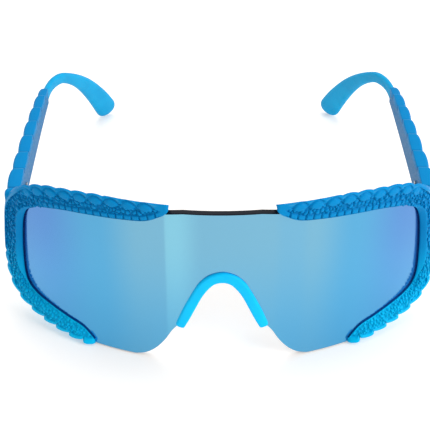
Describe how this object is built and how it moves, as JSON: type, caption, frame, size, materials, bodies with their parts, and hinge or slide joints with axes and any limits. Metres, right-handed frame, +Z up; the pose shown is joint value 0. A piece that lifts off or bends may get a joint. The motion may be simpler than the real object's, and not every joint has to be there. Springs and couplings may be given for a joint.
{
  "type": "sport sunglasses",
  "caption": "Wraparound shield sunglasses with scale-textured wrap rims, a rubber nose saddle and folding temples with hooked ear tips.",
  "frame": {"origin": "under the middle of the opened sunglasses' box, on the surface they stand on", "axes": "+Z up, the lens faces -Y, the temples run to +Y, +X is the wearer's left"},
  "size_m": [0.1468, 0.1633, 0.0651],
  "materials": {
    "mirror_lens": "blue mirror coating on smoke polycarbonate",
    "rim_plastic": "satin soft-touch paint, blue fading to cyan",
    "arm_plastic": "satin soft-touch paint",
    "scale_plastic": "satin soft-touch paint",
    "saddle_rubber": "soft satin rubber",
    "tip_rubber": "soft matt rubber",
    "hinge_metal": "dark nickel-plated steel"
  },
  "bodies": {
    "front": {"lens": "mirror_lens", "rim_left": "rim_plastic", "rim_right": "rim_plastic", "nose_saddle": "saddle_rubber", "front_leaf_left": "hinge_metal", "front_leaf_right": "hinge_metal", "front_leaf_screws_left": "hinge_metal", "front_leaf_screws_right": "hinge_metal", "hinge_pin_left": "hinge_metal", "hinge_pin_right": "hinge_metal"},
    "temple_left": {"rear_leaf_left": "hinge_metal", "rear_leaf_screws_left": "hinge_metal", "arm_left": "arm_plastic", "scale_cover_left": "scale_plastic", "ear_tip_left": "tip_rubber"},
    "temple_right": {"rear_leaf_right": "hinge_metal", "rear_leaf_screws_right": "hinge_metal", "arm_right": "arm_plastic", "scale_cover_right": "scale_plastic", "ear_tip_right": "tip_rubber"}
  },
  "joints": [
    {"name": "hinge_left", "type": "hinge", "parent": "front", "child": "temple_left", "pos_m": [0.0641, -0.0482, 0.0435], "axis": [0, 0, 1], "range_deg": [0, 80]},
    {"name": "hinge_right", "type": "hinge", "parent": "front", "child": "temple_right", "pos_m": [-0.0641, -0.0482, 0.0435], "axis": [0, 0, -1], "range_deg": [0, 66]}
  ]
}
